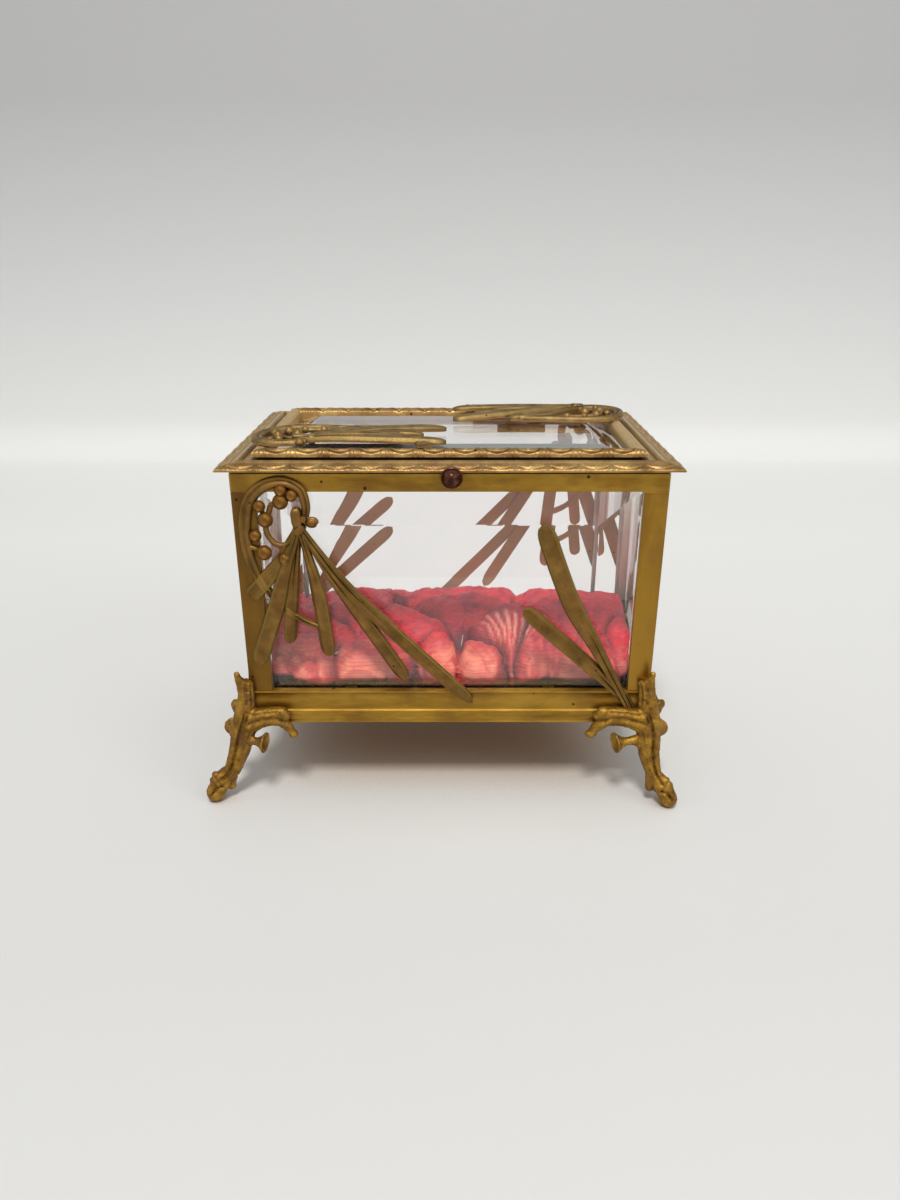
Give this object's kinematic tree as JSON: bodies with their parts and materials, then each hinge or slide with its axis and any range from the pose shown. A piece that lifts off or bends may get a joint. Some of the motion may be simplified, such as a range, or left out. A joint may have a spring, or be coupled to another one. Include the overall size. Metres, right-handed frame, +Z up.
{
  "type": "glass casket box",
  "caption": "Rectangular bevelled-glass casket in a brass frame on branch-shaped feet, with a hinged glazed lid, leaf sprays and a tufted silk cushion.",
  "frame": {"origin": "on the ground under the middle of the case", "axes": "+Z up, the front faces -Y, +X to the right of someone who faces the front"},
  "size_m": [0.1784, 0.116, 0.1315],
  "materials": {
    "case_brass": "aged gilt, satin",
    "lid_brass": "worn gilt, satin",
    "foot_brass": "cast gilt, polished high spots",
    "leaf_brass": "cast, green-brown patina",
    "pull_copper": "dark coppered, satin",
    "bevelled_glass": "clear, bevelled",
    "rose_silk": "fine ribbed silk, worn",
    "thread": "cotton",
    "card": "matt",
    "pin_steel": "drawn wire"
  },
  "bodies": {
    "casket": {"bottom_rail_front": "case_brass", "bottom_rail_right": "case_brass", "bottom_rail_back": "case_brass", "bottom_rail_left": "case_brass", "top_rail_front": "case_brass", "top_rail_right": "case_brass", "top_rail_back": "case_brass", "top_rail_left": "case_brass", "post_front_left": "case_brass", "post_front_right": "case_brass", "post_back_right": "case_brass", "post_back_left": "case_brass", "glass_front": "bevelled_glass", "glass_right": "bevelled_glass", "glass_back": "bevelled_glass", "glass_left": "bevelled_glass", "glass_tabs": "case_brass", "floor_plate": "case_brass", "cushion_card": "card", "cushion": "rose_silk", "tuft_threads": "thread", "foot_front_left": "foot_brass", "foot_front_right": "foot_brass", "foot_back_right": "foot_brass", "foot_back_left": "foot_brass", "berry_spray_front": "leaf_brass", "berry_spray_back": "leaf_brass", "leaf_pair_front": "leaf_brass", "leaf_pair_right": "leaf_brass", "leaf_pair_back": "leaf_brass", "leaf_pair_left": "leaf_brass", "hinge_case_leaves": "case_brass", "hinge_pins": "pin_steel"},
    "lid": {"hinge_lid_leaves": "lid_brass", "lid_frame": "lid_brass", "lid_moulding_front": "lid_brass", "lid_moulding_right": "lid_brass", "lid_moulding_back": "lid_brass", "lid_moulding_left": "lid_brass", "lid_glass": "bevelled_glass", "lid_glass_tabs": "lid_brass", "lid_spray_front": "leaf_brass", "lid_spray_back": "leaf_brass", "lid_pull": "pull_copper", "lid_pull_tab": "lid_brass"}
  },
  "joints": [
    {"name": "lid_hinge", "type": "hinge", "parent": "casket", "child": "lid", "pos_m": [0, 0.0475, 0.1202], "axis": [-1, 0, 0], "range_deg": [0, 100]}
  ]
}
